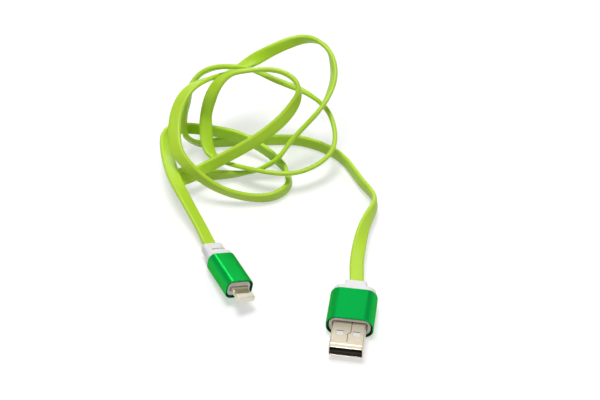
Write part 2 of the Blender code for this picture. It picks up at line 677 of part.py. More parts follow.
def free_cable():
    """Close points of the free cable: centres, tangents and width directions."""
    (start, leave, start_side), (finish, enter, finish_side) = plug_ends()
    centres = np.array([start] + [Vector(place) * MM for place, _ in ROUTE] + [finish])
    sides = unit(np.array([start_side] + [Vector(side) for _, side in ROUTE] + [finish_side]))
    chords = np.linalg.norm(np.diff(centres, axis=0), axis=1)
    knots = np.concatenate([[0.0], np.cumsum(np.sqrt(chords))])
    still = np.zeros(3)
    speed = np.sqrt(chords)
    centre_at = cubic_through(
        knots, centres, np.array(leave) * speed[0], np.array(enter) * speed[-1]
    )
    side_at = cubic_through(knots, sides, still, still)
    where = np.linspace(0.0, knots[-1], 6000)
    line = centre_at(where)
    along = unit(np.gradient(line, axis=0))
    side = side_at(where)
    side -= (side * along).sum(axis=1, keepdims=True) * along
    return line, along, unit(side)


def ring_places(line, along, side):
    """Rows of the close points that carry a ring: close together where the cable turns."""
    step = np.linalg.norm(np.diff(line, axis=0), axis=1)
    turn = np.linalg.norm(np.diff(along, axis=0), axis=1)
    twist = np.abs((np.diff(side, axis=0) * np.cross(along, side)[:-1]).sum(axis=1))
    need = np.maximum(step / RING_STEP, np.maximum(turn, twist) / RING_ANGLE)
    total = np.concatenate([[0.0], np.cumsum(need)])
    count = math.ceil(total[-1])
    return np.searchsorted(total, np.linspace(0.0, total[-1], count + 1)).clip(0, len(line) - 1)


def cable_rings():
    """Centres and width directions of all rings, with the straight ends inside the plugs."""
    line, along, side = free_cable()
    rows = ring_places(line, along, side)
    centres, sides = line[rows], side[rows]
    (start, leave, start_side), (finish, enter, finish_side) = plug_ends()
    start_inside = COLLAR_REAR - CHARGER_REAR + CABLE_HOLD
    finish_inside = RELIEF_REAR - PHONE_REAR + CABLE_HOLD
    centres = np.concatenate(
        [[start - leave * start_inside], centres, [finish + enter * finish_inside]]
    )
    sides = np.concatenate([[start_side], sides, [finish_side]])
    return centres, sides


def section(half_width, half_thickness):
    """Eight corners of a flat section with rounded sides."""
    bend = half_thickness * 0.4
    quarter = [(half_width - half_thickness * 0.75, half_thickness), (half_width, bend)]
    right = quarter + [(x, -y) for x, y in reversed(quarter)]
    return right + [(-x, -y) for x, y in right]


def ring_points(centres, sides, outline):
    """The outline's corners round each centre, square to the cable there."""
    along = unit(np.gradient(centres, axis=0))
    across = unit(sides - (sides * along).sum(axis=1, keepdims=True) * along)
    up = np.cross(along, across)
    corners = np.array(outline)
    return (
        centres[:, None]
        + across[:, None] * corners[None, :, :1]
        + up[:, None] * corners[None, :, 1:]
    )


def loft(bm, rings):
    """Skin over rings that turn and twist along the cable; returns its rows of vertices."""
    rows = [[bm.verts.new(point) for point in ring] for ring in rings]
    for row, after in zip(rows, rows[1:]):
        skin_between(bm, row, after)
    return rows


def skin_between(bm, row, after):
    for i in range(len(row)):
        j = (i + 1) % len(row)
        bm.faces.new((row[i], row[j], after[j], after[i]))


def cable_jacket(centres, sides, home):
    half_width = CABLE_WIDTH / 2
    half_thickness = CABLE_THICKNESS / 2
    outer = section(half_width, half_thickness)
    inner = section(half_width - JACKET_SIDE, half_thickness - JACKET_WALL)
    bm = bmesh.new()
    skin = loft(bm, ring_points(centres, sides, outer))
    bore = loft(bm, ring_points(centres, sides, inner))
    skin_between(bm, skin[0], bore[0])
    skin_between(bm, skin[-1], bore[-1])
    bmesh.ops.recalc_face_normals(bm, faces=bm.faces)
    add("cable_jacket", bm, home, material("lime jacket", 0x9ACD20, 0.42))


def cable_cores(centres, sides, home):
    """Four wires side by side in the jacket, their ends bare of it."""
    along = unit(np.gradient(centres, axis=0))
    across = unit(sides - (sides * along).sum(axis=1, keepdims=True) * along)
    line = centres.copy()
    line[0] -= along[0] * CORE_STRIP
    line[-1] += along[-1] * CORE_STRIP
    colours = (0xC03028, 0xE8E8E4, 0x2E8A45, 0x1C1C1E)
    for number, (name, colour) in enumerate(zip(CORE_NAMES, colours)):
        offset = (number - (len(CORE_NAMES) - 1) / 2) * CORE_PITCH
        curve = bpy.data.curves.new(name, "CURVE")
        curve.dimensions = "3D"
        curve.bevel_depth = CORE_RADIUS
        curve.bevel_resolution = 1
        curve.use_fill_caps = True
        spline = curve.splines.new("POLY")
        spline.points.add(len(line) - 1)
        for point, place in zip(spline.points, line + across * offset):
            point.co = (*place, 1.0)
        wire = bpy.data.objects.new(name, curve)
        curve.materials.append(material(f"{name} insulation", colour, 0.5))
        home.objects.link(wire)


def print_least_gap(centres, sides):
    """Measure the jacket's length and its least gap to itself on close points, and print both."""
    reach = (CABLE_WIDTH - CABLE_THICKNESS) / 2
    lengths = np.concatenate([[0.0], np.cumsum(np.linalg.norm(np.diff(centres, axis=0), axis=1))])
    where = np.arange(0.0, lengths[-1], MEASURE_STEP)
    line = np.stack([np.interp(where, lengths, centres[:, i]) for i in range(3)], axis=1)
    side = unit(np.stack([np.interp(where, lengths, sides[:, i]) for i in range(3)], axis=1))
    rows = np.linspace(-reach, reach, 9)
    points = (line[:, None] + side[:, None] * rows[None, :, None]).reshape(-1, 3)
    owner = np.repeat(where, len(rows))
    least = math.inf
    for i in range(0, len(points), len(rows)):
        others = owner > owner[i] + 2 * CABLE_WIDTH
        if others.any():
            apart = points[i : i + len(rows), None] - points[None, others]
            least = min(least, np.sqrt((apart**2).sum(axis=2).min()))
    low = (points[:, 2] - CABLE_THICKNESS / 2).min()
    print(f"cable length {lengths[-1] * 1000:.0f} mm in {len(centres)} rings")
    print(f"least gap of the cable to itself {(least - CABLE_THICKNESS) / MM:.2f} mm")
    print(f"lowest point {low / MM:.2f} mm above the table")


def main():
    clear_scene()
    home = collection("charging_cable")
    cutters = collection("cutters")

    charger_shell(home, cutters)
    charger_tongue(home)
    charger_contacts(home)
    charger_insulator(home)
    charger_inner_mould(home, cutters)
    charger_sleeve(home)
    charger_collar(home, cutters)
    crimp("charger_crimp", CHARGER_REAR - CABLE_HOLD + FIT_GAP, (0.0, CHARGER_MIDDLE), home)

    place = bpy.data.objects.new("phone_plug_place", None)
    place.matrix_world = Matrix.Translation(PHONE_PLACE) @ PHONE_TURN.to_4x4()
    home.objects.link(place)
    phone_tip_frame(home, cutters, place)
    phone_tip_contacts(home, place)
    phone_inner_mould(home, cutters, place)
    phone_board(home, place)
    phone_sleeve(home, place)
    phone_relief(home, cutters, place)
    crimp("phone_crimp", PHONE_REAR - CABLE_HOLD + FIT_GAP, (0.0, 0.0), home, place)

    centres, sides = cable_rings()
    cable_jacket(centres, sides, home)
    cable_cores(centres, sides, home)
    print_least_gap(centres, sides)


main()
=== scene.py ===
import math

import bmesh
import bpy
import numpy as np
from mathutils import Euler, Matrix, Vector


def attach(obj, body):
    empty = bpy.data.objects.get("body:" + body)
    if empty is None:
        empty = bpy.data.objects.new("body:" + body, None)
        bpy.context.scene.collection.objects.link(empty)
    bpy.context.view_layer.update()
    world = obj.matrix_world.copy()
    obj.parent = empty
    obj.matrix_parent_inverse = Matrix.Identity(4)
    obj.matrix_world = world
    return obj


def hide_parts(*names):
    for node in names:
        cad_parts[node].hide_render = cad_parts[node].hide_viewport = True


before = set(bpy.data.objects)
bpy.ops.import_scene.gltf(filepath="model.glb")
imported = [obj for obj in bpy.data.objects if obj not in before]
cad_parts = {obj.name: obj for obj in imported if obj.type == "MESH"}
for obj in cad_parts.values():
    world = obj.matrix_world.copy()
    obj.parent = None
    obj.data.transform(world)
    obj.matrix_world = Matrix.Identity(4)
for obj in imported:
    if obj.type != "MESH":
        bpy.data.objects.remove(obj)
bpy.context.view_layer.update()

MM = 0.001
WELD = 1e-7  # in metres; corners nearer than this count as one
scene = bpy.context.scene
scene.view_settings.view_transform = "Standard"

# Camera, at the photograph's angle

CAMERA_PLACE = Vector((28.94, -326.08, 382.0)) * MM
CAMERA_AIM = Vector((-27.17, 58.55, 0.0)) * MM
lens = bpy.data.cameras.new("camera")
lens.lens = 84.0
lens.sensor_width = 36.0
lens.clip_start = 0.01
camera = bpy.data.objects.new("camera", lens)
camera.location = CAMERA_PLACE
camera.rotation_euler = (CAMERA_AIM - CAMERA_PLACE).to_track_quat("-Z", "Y").to_euler()
scene.collection.objects.link(camera)
scene.camera = camera

# Sizes and places, in millimetres. A plug's length lies along Y, and its nose points to -Y.

CABLE_WIDTH = 5.2
CABLE_THICKNESS = 1.8
CABLE_STEP = 0.8  # between two rings of the cable's skin
CABLE_SEGMENTS = 24  # round a ring, before its wide sides are split
CABLE_HOLD = 4.0  # length of cable inside a plug's mould
CABLE_BORE = (5.4, 2.0, 0.98)  # hole round the cable: width, height, corner radius

PLUG_SEGMENTS = 48  # round the section of a plug's part
FLANGE_GAP = 0.3  # of the inner mould, between a sleeve and the white flange behind it

CHARGER_MIDDLE = 4.9  # height of the charger plug's axis above the table
CHARGER_FRONT, CHARGER_REAR = -7.2, 7.2  # ends of its green sleeve
COLLAR_FRONT, COLLAR_REAR = CHARGER_REAR + FLANGE_GAP, 13.3
CHARGER_TURN = Matrix.Translation((0.0, 0.0, CHARGER_MIDDLE * MM))

PHONE_FRONT, PHONE_REAR = -8.85, 8.85  # ends of the phone plug's green sleeve
RELIEF_FRONT, RELIEF_REAR = PHONE_REAR + FLANGE_GAP, 17.85
PHONE_MIDDLE = Vector((-46.0, 10.75, 5.6)) * MM
PHONE_LEAN = Euler((math.radians(-7.2), math.radians(16.9), math.radians(33.4)), "YXZ")
PHONE_TURN = Matrix.Translation(PHONE_MIDDLE) @ PHONE_LEAN.to_matrix().to_4x4()

# The free cable from the charger plug to the phone plug. Each entry is a point of the
# centreline and the direction of the cable's width there.
ROUTE = (
    ((-0.7, 20.5, 4.9), (1.0, 0.0, 0.0)),
    ((-1.1, 25.6, 5.0), (1.0, 0.0, 0.0)),
    ((0.0, 43.7, 6.0), (0.6, -0.1, -0.8)),
    ((2.1, 56.8, 5.5), (0.1, 0.2, -1.0)),
    ((-4.5, 68.1, 4.0), (-0.1, 0.1, -1.0)),
    ((-14.9, 82.5, 3.0), (0.0, 0.0, -1.0)),
    ((-29.5, 89.0, 3.0), (0.0, 0.0, -1.0)),
    ((-39.5, 88.8, 3.0), (0.0, 0.0, -1.0)),
    ((-64.4, 83.6, 3.0), (0.0, 0.1, -1.0)),
    ((-70.4, 81.5, 3.5), (-0.5, 0.3, -0.8)),
    ((-74.5, 79.2, 7.0), (-0.8, 0.5, -0.2)),
    ((-76.0, 77.6, 13.0), (-0.1, 0.8, -0.5)),
    ((-76.3, 79.6, 18.0), (0.0, 0.9, -0.3)),
    ((-75.7, 82.5, 22.5), (0.1, 0.9, -0.3)),
    ((-75.2, 87.5, 26.5), (0.1, 0.9, -0.4)),
    ((-72.1, 91.7, 30.5), (-0.1, 0.7, -0.7)),
    ((-65.6, 93.0, 34.0), (-0.1, 0.7, -0.7)),
    ((-58.0, 93.0, 35.2), (-0.1, 0.7, -0.7)),
    ((-50.5, 94.9, 32.6), (-0.1, 0.8, -0.6)),
    ((-42.5, 94.4, 29.5), (-0.1, 0.9, -0.5)),
    ((-33.5, 95.0, 25.5), (-0.1, 0.9, -0.5)),
    ((-27.8, 94.2, 23.0), (-0.1, 0.8, -0.6)),
    ((-22.3, 92.4, 19.5), (-0.1, 0.7, -0.7)),
    ((-18.7, 87.9, 17.0), (-0.1, 0.7, -0.7)),
    ((-16.7, 82.0, 14.0), (-0.1, 0.7, -0.7)),
    ((-17.4, 74.4, 12.0), (-0.1, 0.7, -0.7)),
    ((-23.2, 67.5, 10.0), (-0.1, 0.7, -0.7)),
    ((-32.0, 62.9, 9.5), (-0.1, 0.7, -0.7)),
    ((-44.0, 63.0, 9.3), (-0.1, 0.7, -0.7)),
    ((-57.0, 68.3, 6.4), (0.0, 0.7, -0.7)),
    ((-65.3, 73.7, 6.5), (0.7, 0.5, -0.5)),
    ((-68.0, 80.0, 14.0), (1.0, 0.0, 0.0)),
    ((-68.1, 82.6, 18.5), (0.9, -0.4, 0.0)),
    ((-66.3, 83.5, 26.0), (0.85, -0.45, -0.2)),
    ((-63.4, 85.3, 32.2), (0.5, -0.8, -0.1)),
    ((-58.8, 87.7, 35.8), (0.2, -0.9, 0.4)),
    ((-52.6, 88.8, 37.2), (0.1, -0.8, 0.6)),
    ((-40.5, 90.2, 37.5), (0.1, -0.7, 0.7)),
    ((-31.9, 85.8, 34.5), (0.1, -0.7, 0.7)),
    ((-33.7, 80.2, 27.5), (-0.6, -0.3, 0.8)),
    ((-45.5, 71.0, 18.5), (-0.5, 0.0, 0.9)),
    ((-65.0, 61.0, 9.5), (-0.5, 0.2, 0.9)),
    ((-71.5, 56.3, 8.0), (-0.2, 0.6, 0.8)),
    ((-75.4, 56.8, 6.6), (-0.1, 0.6, 0.8)),
    ((-76.8, 59.6, 4.9), (-0.1, 0.6, 0.8)),
    ((-75.1, 62.8, 3.4), (-0.1, 0.5, 0.8)),
    ((-71.4, 64.0, 2.9), (-0.1, 0.4, 0.9)),
    ((-65.0, 64.6, 2.8), (0.0, 0.1, 1.0)),
    ((-55.0, 66.0, 3.0), (0.0, -0.45, 0.85)),
    ((-48.1, 68.6, 3.0), (0.1, -0.75, 0.65)),
    ((-42.0, 69.6, 6.0), (0.1, -0.7, 0.7)),
    ((-37.0, 71.0, 10.5), (0.1, -0.7, 0.7)),
    ((-33.1, 75.5, 15.0), (0.1, -0.7, 0.7)),
    ((-23.8, 83.8, 24.0), (0.1, -0.7, 0.7)),
    ((-20.5, 90.4, 27.6), (0.3, -0.7, 0.7)),
    ((-19.4, 97.0, 31.0), (0.4, -0.6, 0.7)),
    ((-20.8, 103.3, 34.5), (0.2, -0.4, 0.9)),
    ((-24.9, 109.3, 37.0), (-0.2, -0.7, 0.7)),
    ((-31.5, 110.3, 38.5), (0.1, -0.4, 0.9)),
    ((-38.5, 107.6, 38.0), (0.0, 0.1, 1.0)),
    ((-45.7, 104.4, 35.5), (-0.4, 0.1, 0.9)),
    ((-58.6, 99.4, 28.8), (-0.3, 0.9, -0.3)),
    ((-63.9, 93.6, 29.6), (-0.4, 0.6, -0.7)),
    ((-73.1, 81.2, 32.5), (-0.8, 0.5, -0.4)),
    ((-77.2, 70.5, 27.0), (-1.0, 0.2, -0.2)),
    ((-75.1, 59.4, 20.5), (-0.9, -0.1, -0.5)),
    ((-70.6, 55.2, 16.5), (-0.6, 0.0, -0.8)),
    ((-58.1, 52.4, 8.0), (-0.4, 0.3, -0.9)),
    ((-41.5, 54.6, 3.0), (0.0, 0.3, -1.0)),
    ((-35.4, 57.8, 3.0), (0.0, 0.2, -1.0)),
    ((-32.7, 62.2, 3.0), (0.0, 0.0, -1.0)),
    ((-32.9, 66.9, 3.0), (0.3, 0.2, -0.9)),
    ((-35.4, 71.7, 4.0), (0.0, 0.2, -1.0)),
    ((-50.5, 81.2, 7.5), (0.0, 0.0, -1.0)),
    ((-66.0, 83.0, 9.5), (0.0, -0.1, -1.0)),
    ((-81.1, 81.8, 9.5), (0.1, -0.1, -1.0)),
    ((-83.5, 76.3, 10.0), (0.6, -0.1, -0.8)),
    ((-82.0, 69.0, 10.5), (0.8, 0.1, -0.5)),
    ((-78.7, 60.4, 11.0), (1.0, 0.1, -0.1)),
    ((-74.0, 50.9, 10.5), (0.8, 0.6, -0.2)),
    ((-61.1, 33.4, 5.0), (0.7, 0.6, -0.4)),
)

# Materials


def linear(hex_colour):
    """Linear RGBA of an sRGB colour written as a hex number."""
    channels = [(hex_colour >> shift & 255) / 255 for shift in (16, 8, 0)]
    return [c / 12.92 if c <= 0.04045 else ((c + 0.055) / 1.055) ** 2.4 for c in channels] + [1.0]


def add_node(tree, kind, inputs=None, **settings):
    """Adds a node; inputs gives each socket its value or the output that feeds it."""
    made = tree.nodes.new(kind)
    for name, value in settings.items():
        setattr(made, name, value)
    for socket, value in (inputs or {}).items():
        if isinstance(value, bpy.types.NodeSocket):
            tree.links.new(value, made.inputs[socket])
        else:
            made.inputs[socket].default_value = value
    return made


COLOUR_A, COLOUR_B = 6, 7  # a Mix node's two colour inputs
MIXED_COLOUR = 2  # and its colour output


def two_tone(
    name,
    first,
    second,
    grain_mm,
    stretch=(1, 1, 1),
    rough=(0.4, 0.5),
    bump_mm=0.0,
    along="",
    **sockets,
):
    """A finish whose colour, gloss and surface vary together over grains of a real size.

    The grains lie in the object's own space, or in the attribute named by along. What is left
    over sets the shader's sockets of those names.
    """
    made = bpy.data.materials.new(name)
    made.use_nodes = True
    tree = made.node_tree
    shader = tree.nodes["Principled BSDF"]
    if along:
        place = add_node(tree, "ShaderNodeAttribute", attribute_name=along).outputs["Vector"]
    else:
        place = add_node(tree, "ShaderNodeTexCoord").outputs["Object"]
    mapped = add_node(tree, "ShaderNodeMapping", {"Vector": place, "Scale": stretch})
    grain = add_node(
        tree,
        "ShaderNodeTexNoise",
        {"Vector": mapped.outputs["Vector"], "Scale": 1 / (grain_mm * MM), "Detail": 3.0},
    )
    mix = add_node(
        tree,
        "ShaderNodeMix",
        {"Factor": grain.outputs["Fac"], COLOUR_A: linear(first), COLOUR_B: linear(second)},
        data_type="RGBA",
    )
    gloss = add_node(
        tree,
        "ShaderNodeMapRange",
        {"Value": grain.outputs["Fac"], "To Min": rough[0], "To Max": rough[1]},
    )
    tree.links.new(mix.outputs[MIXED_COLOUR], shader.inputs["Base Color"])
    tree.links.new(gloss.outputs["Result"], shader.inputs["Roughness"])
    if bump_mm:
        bump = add_node(
            tree,
            "ShaderNodeBump",
            {"Height": grain.outputs["Fac"], "Distance": bump_mm * MM, "Strength": 1.0},
        )
        tree.links.new(bump.outputs["Normal"], shader.inputs["Normal"])
    for socket, value in sockets.items():
        shader.inputs[socket.replace("_", " ")].default_value = value
    return made


# Soft elastomer drawn through a flat die. It is an even, slightly waxy lime with a wide soft
# highlight, and the die leaves faint lines along it, drawn here 0.5 mm apart so that they show.
LIME_TPE = two_tone(
    "extruded lime TPE",
    0xB2DB1C,
    0xBEE42E,
    0.5,
    stretch=(1, 0.03, 1),
    rough=(0.42, 0.54),
    bump_mm=0.01,
    along="cable_place",
    Specular_IOR_Level=0.7,
)
# Aluminium blasted with fine beads, then dyed and sealed: a deep satin green that mirrors the
# lamps as broad soft stripes. The bead marks are drawn coarser than the real 0.1 mm to show.
GREEN_ALUMINIUM = two_tone(
    "blasted and anodised green aluminium",
    0x00B046,
    0x02BC52,
    0.3,
    rough=(0.32, 0.42),
    bump_mm=0.003,
    Metallic=0.95,
    Coat_Weight=0.1,
    Coat_Roughness=0.3,
    Specular_Tint=linear(0x6AC48A),
)
# The same aluminium where the tube was cut, painted a dull, nearly black green: painted shade on
# the rim round the pale mould.
SHADED_RIM_ALUMINIUM = two_tone(
    "cut aluminium rim, painted shade", 0x063F20, 0x0A4B28, 0.2, rough=(0.45, 0.55), Metallic=0.9
)
# ABS from a lightly sparked mould: clean white with a fine satin skin and soft round highlights.
WHITE_PLASTIC = two_tone(
    "moulded white ABS", 0xE8E5E8, 0xF0EDEF, 0.5, rough=(0.38, 0.5), bump_mm=0.004
)
# Glass filled nylon, moulded: a duller, warmer pale grey than the white parts.
CARRIER_PLASTIC = two_tone(
    "moulded pale grey nylon", 0xEAE6E0, 0xF1EEE9, 0.4, rough=(0.5, 0.6), bump_mm=0.004
)
# Steel strip drawn to a box and nickel plated: warm silver with hair lines along the drawing
# direction, which stretch each reflection.
PLATED_STEEL = two_tone(
    "drawn and nickel plated steel",
    0xD6CCB6,
    0xE1D8C4,
    0.12,
    stretch=(1, 0.06, 1),
    rough=(0.36, 0.48),
    bump_mm=0.002,
    Metallic=1.0,
)
# The strip's own edges, sheared after plating: bare and dull, and painted dark grey as shade, so
# that the seam and the rims of the windows read as darker lines.
SHEARED_STEEL_WITH_SHADE = two_tone(
    "sheared steel edge, painted shade", 0x827A6C, 0x908878, 0.1, rough=(0.5, 0.6), Metallic=1.0
)
# Die cast and plated body of the small plug: a smooth warm silver with a satin sheen.
TIP_METAL = two_tone(
    "cast and nickel plated tip",
    0xD9D3C2,
    0xE6E0D0,
    0.3,
    rough=(0.46, 0.56),
    bump_mm=0.002,
    Metallic=1.0,
)
# Thin gold over nickel, rolled: yellow and a little uneven where the plating is thin.
CONTACT_GOLD = two_tone(
    "rolled and gold plated contact", 0xC79A4B, 0xD8B168, 0.25, rough=(0.24, 0.36), Metallic=1.0
)
# The same on the small plug, where the gold is a thin flash and the nickel shows through.
FLASH_GOLD = two_tone(
    "rolled and gold flashed contact", 0xCFC6A0, 0xDAD2B0, 0.25, rough=(0.3, 0.42), Metallic=1.0
)
# Liquid crystal polymer, moulded: nearly black in the wide plug, khaki in the small one and off
# white round the wide plug's contacts, all with a dull skin.
DARK_PLASTIC = two_tone(
    "moulded dark LCP", 0x1B150F, 0x241D16, 0.3, rough=(0.45, 0.55), Specular_IOR_Level=0.3
)
TIP_PLASTIC = two_tone("moulded khaki LCP", 0xAEA884, 0xBAB492, 0.3, rough=(0.45, 0.55))
INSULATOR_PLASTIC = two_tone("moulded white LCP", 0xECEAE6, 0xF4F2EE, 0.4, rough=(0.4, 0.5))
# Glass fibre board under green lacquer: a glossy dark green, mottled by the cloth below it.
BOARD_LACQUER = two_tone("lacquered glass fibre board", 0x1B5A30, 0x24693A, 0.5, rough=(0.3, 0.45))
# Moulded epoxy of a chip: charcoal and matt.
CHIP_EPOXY = two_tone("moulded epoxy chip", 0x1B1B1D, 0x242426, 0.2, rough=(0.5, 0.65))
# Sheet steel, pressed and dipped in tin: grey with cloudy gloss.
TINNED_STEEL = two_tone(
    "pressed and tinned steel", 0xB7B1A8, 0xC6C1B9, 0.2, rough=(0.3, 0.45), Metallic=1.0
)
# PVC drawn over copper: a smooth satin skin in the usual four wire colours.
RED_PVC = two_tone("extruded red PVC", 0xB92A24, 0xC83A30, 0.4, rough=(0.4, 0.5))
WHITE_PVC = two_tone("extruded white PVC", 0xE4E4DE, 0xEEEEEA, 0.4, rough=(0.4, 0.5))
GREEN_PVC = two_tone("extruded green PVC", 0x288040, 0x34924C, 0.4, rough=(0.4, 0.5))
BLACK_PVC = two_tone("extruded black PVC", 0x18181A, 0x222225, 0.4, rough=(0.4, 0.5))


# Pieces

CUT_SHADE_SLOT = 1  # material slot of a piece's cut faces, which carry painted shade; slot 0 holds its own finish


def piece(name, bm, look, slot, *nodes, turn=None, sharp=32.0, shade_look=None, flats=True):
    """Makes a mesh a shaded piece that rides on the body and stands for those CAD nodes.

    Edges bent by more than sharp degrees stay crisp, and flats keeps flat faces evenly lit up
    to their round edges.
    """
    if turn is not None:
        bmesh.ops.transform(bm, matrix=turn, verts=bm.verts)
    mesh = bpy.data.meshes.new(name)
    bm.to_mesh(mesh)
    bm.free()
    mesh.shade_smooth()
    mesh.set_sharp_from_angle(angle=math.radians(sharp))
    mesh.materials.append(look)
    # A second finish paints shade on the cut faces.
    if shade_look is not None:
        mesh.materials.append(shade_look)
    made = bpy.data.objects.new(name, mesh)
    scene.collection.objects.link(made)
    if flats:
        made.modifiers.new("flats stay flat", "WEIGHTED_NORMAL").keep_sharp = True
    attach(made, "root")
    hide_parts(*nodes)
    return made


def drawn_on(bm, edges):
    """Draws a ring of edges out into a band of faces. Gives the new ring's corners and edges."""
    made = bmesh.ops.extrude_edge_only(bm, edges=edges)["geom"]
    corners = {item for item in made if isinstance(item, bmesh.types.BMVert)}
    ring = [
        item
        for item in made
        if isinstance(item, bmesh.types.BMEdge) and set(item.verts) <= corners
    ]
    return corners, ring


def drawn(stations, closed=False):
    """Skin drawn through stations, which are rounded rectangles square to the length.

    A station is (place along the length, width, height, corner radius). A closed skin ends on
    its first station, as a tube with a wall does.
    """
    bm = bmesh.new()
    round_to = bm.verts.layers.float_vector.new("round_to")
    half_step = Matrix.Rotation(math.pi / PLUG_SEGMENTS, 4, "Z")
    circle = bmesh.ops.create_circle(bm, segments=PLUG_SEGMENTS, radius=1.0, matrix=half_step)
    corners = circle["verts"]
    for vert in corners:
        vert[round_to] = vert.co
    edges = bm.edges[:]
    for number, (place, width, height, radius) in enumerate(stations):
        if number:
            corners, edges = drawn_on(bm, edges)
        for vert in corners:
            across, up, _ = vert[round_to]
            vert.co = (
                (across * radius + math.copysign(width / 2 - radius, across)) * MM,
                place * MM,
                (up * radius + math.copysign(height / 2 - radius, up)) * MM,
            )
    if closed:
        bmesh.ops.remove_doubles(bm, verts=bm.verts, dist=WELD)
    bm.verts.layers.float_vector.remove(round_to)
    bmesh.ops.recalc_face_normals(bm, faces=bm.faces)
    return bm


def capped(bm):
    """Closes both ends of a drawn skin."""
    bmesh.ops.holes_fill(bm, edges=bm.edges, sides=0)
    bmesh.ops.recalc_face_normals(bm, faces=bm.faces)
    return bm


X, Y, Z = 0, 1, 2


def cut_lines(bm, axis, places):
    """Cuts the faces along planes square to an axis, so that edges lie there."""
    for place in places:
        square = [0.0, 0.0, 0.0]
        square[axis] = 1.0
        bmesh.ops.bisect_plane(
            bm,
            geom=bm.verts[:] + bm.edges[:] + bm.faces[:],
            plane_co=[place * MM * part for part in square],
            plane_no=square,
            dist=WELD,
        )


def faces_within(bm, across, along, up):
    """Faces whose middle lies between those limits in X, Y and Z, in millimetres."""
    found = []
    for face in bm.faces:
        middle = face.calc_center_median() / MM
        if all(low < part < high for part, (low, high) in zip(middle, (across, along, up))):
            found.append(face)
    return found


def sink(bm, faces, height_mm):
    """Presses flat faces to another height and leaves walls at their edges."""
    pressed = bmesh.ops.extrude_face_region(bm, geom=faces)["geom"]
    bmesh.ops.delete(bm, geom=faces, context="FACES_ONLY")
    for item in pressed:
        if isinstance(item, bmesh.types.BMVert):
            item.co.z = height_mm * MM


def pierce(bm, faces):
    """Opens a hole through two facing patches and gives the walls that join their rims."""
    patch = set(faces)
    rims = [
        edge
        for face in faces
        for edge in face.edges
        if len(patch.intersection(edge.link_faces)) == 1
    ]
    bmesh.ops.delete(bm, geom=faces, context="FACES")
    left_over = [edge for edge in rims if edge.is_valid]
    return bmesh.ops.bridge_loops(bm, edges=left_over)["faces"]


def paint_rim_shade(bm, front):
    """Gives the cut finish, which is painted shade, to a sleeve's front end and to the chamfer
    inside it.

    Faces there that look away from the plug's axis are the sleeve's outside and keep its own.
    """
    chamfer = 0.45
    for face in bm.faces:
        middle = face.calc_center_median() / MM
        outward = Vector((middle.x, 0.0, middle.z)).normalized()
        if middle.y < front + chamfer and face.normal.dot(outward) < 0.3:
            face.material_index = CUT_SHADE_SLOT


# Cable


def unit(rows):
    """Rows scaled to length one."""
    return rows / np.linalg.norm(rows, axis=-1, keepdims=True)


def cubic_through(knots, rows, first_slope, last_slope):
    """Smooth curve through rows at the knots, with given slopes at its ends."""
    count = len(knots)
    span = np.diff(knots)
    rise = np.diff(rows, axis=0) / span[:, None]
    matrix = np.zeros((count, count))
    right = np.zeros_like(rows)
    matrix[0, 0] = 1.0
    matrix[-1, -1] = 1.0
    right[0] = first_slope
    right[-1] = last_slope
    for i in range(1, count - 1):
        matrix[i, i - 1] = 1 / span[i - 1]
        matrix[i, i] = 2 / span[i - 1] + 2 / span[i]
        matrix[i, i + 1] = 1 / span[i]
        right[i] = 3 * (rise[i - 1] / span[i - 1] + rise[i] / span[i])
    slopes = np.linalg.solve(matrix, right)

    def value(where):
        part = np.clip(np.searchsorted(knots, where, side="right") - 1, 0, count - 2)
        width = span[part][:, None]
        t = ((where - knots[part]) / span[part])[:, None]
        start, end = rows[part], rows[part + 1]
        bulge = (1 - t) * (slopes[part] * width - (end - start))
        bulge -= t * (slopes[part + 1] * width - (end - start))
        return start + t * (end - start) + t * (1 - t) * bulge

    return value


def cable_rings():
    """Centres, tangents and width directions of the cable's rings, from mould to mould."""
    start = np.array([0.0, COLLAR_REAR, CHARGER_MIDDLE])
    leave = np.array([0.0, 1.0, 0.0])
    turn = PHONE_TURN.to_3x3()
    finish = np.array(PHONE_TURN @ Vector((0.0, RELIEF_REAR * MM, 0.0))) / MM
    enter = np.array(turn @ Vector((0.0, -1.0, 0.0)))
    side_in = np.array([1.0, 0.0, 0.0])
    side_out = np.array(turn @ Vector((1.0, 0.0, 0.0)))
    centres = np.array([start] + [place for place, _ in ROUTE] + [finish])
    sides = unit(np.array([side_in] + [side for _, side in ROUTE] + [side_out]))
    # The root of each chord as the distance between knots keeps tight bends from swinging out.
    chords = np.linalg.norm(np.diff(centres, axis=0), axis=1) * MM
    knots = np.concatenate([[0.0], np.cumsum(np.sqrt(chords))])
    speed = np.sqrt(chords) / MM
    centre_at = cubic_through(knots, centres, leave * speed[0], enter * speed[-1])
    side_at = cubic_through(knots, sides, np.zeros(3), np.zeros(3))
    close = np.linspace(0.0, knots[-1], 6000)  # fine enough to measure the length along it
    line = centre_at(close)
    length = np.concatenate([[0.0], np.cumsum(np.linalg.norm(np.diff(line, axis=0), axis=1))])
    steps = np.linspace(0.0, length[-1], int(length[-1] / CABLE_STEP))
    where = np.interp(steps, length, close)
    # At each end the cable goes on through the white part and into the mould.
    first_inside = COLLAR_REAR - CHARGER_REAR + CABLE_HOLD
    last_inside = RELIEF_REAR - PHONE_REAR + CABLE_HOLD
    centres = np.concatenate(
        [[start - leave * first_inside], centre_at(where), [finish + enter * last_inside]]
    )
    sides = np.concatenate([[side_in], side_at(where), [side_out]])
    along = unit(np.gradient(centres, axis=0))
    along[0], along[1] = leave, leave
    along[-2], along[-1] = enter, enter
    across = unit(sides - (sides * along).sum(axis=1, keepdims=True) * along)
    return centres * MM, along, across


